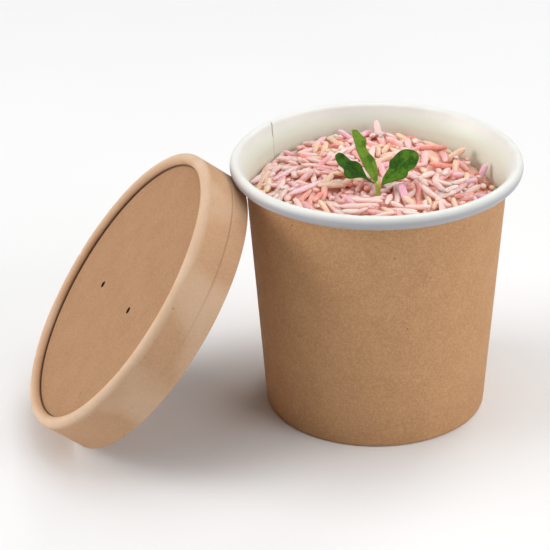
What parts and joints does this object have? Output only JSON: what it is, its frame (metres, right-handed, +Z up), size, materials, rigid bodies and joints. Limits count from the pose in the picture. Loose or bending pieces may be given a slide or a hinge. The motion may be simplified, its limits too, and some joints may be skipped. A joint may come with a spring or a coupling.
{
  "type": "takeaway soup container",
  "caption": "Round kraft paperboard takeaway pot with a rolled white rim, filled with pink rice under a leaf sprig, and its vented paper lid leaning on edge against it.",
  "frame": {"origin": "bottom centre of the whole object's box, on the surface it stands on", "axes": "+Z up; +X from the leaning lid towards the pot, along the longest side; +Y towards the back"},
  "size_m": [0.1552, 0.0954, 0.0879],
  "materials": {
    "kraft_board": "matt brown kraft paperboard with fine fibre flecks",
    "white_lining": "smooth white coated paperboard, satin",
    "pink_rice": "moist cooked long-grain rice tinted pink, peach and cream",
    "green_leaf": "fresh green leaf, slightly waxy",
    "lid_board": "matt brown kraft paperboard with fine fibre flecks"
  },
  "bodies": {
    "root": {"pot_wall": "kraft_board", "pot_base": "kraft_board", "rice": "pink_rice", "leaf_sprig": "green_leaf", "lid_collar": "lid_board", "lid_panel": "lid_board"}
  },
  "joints": []
}
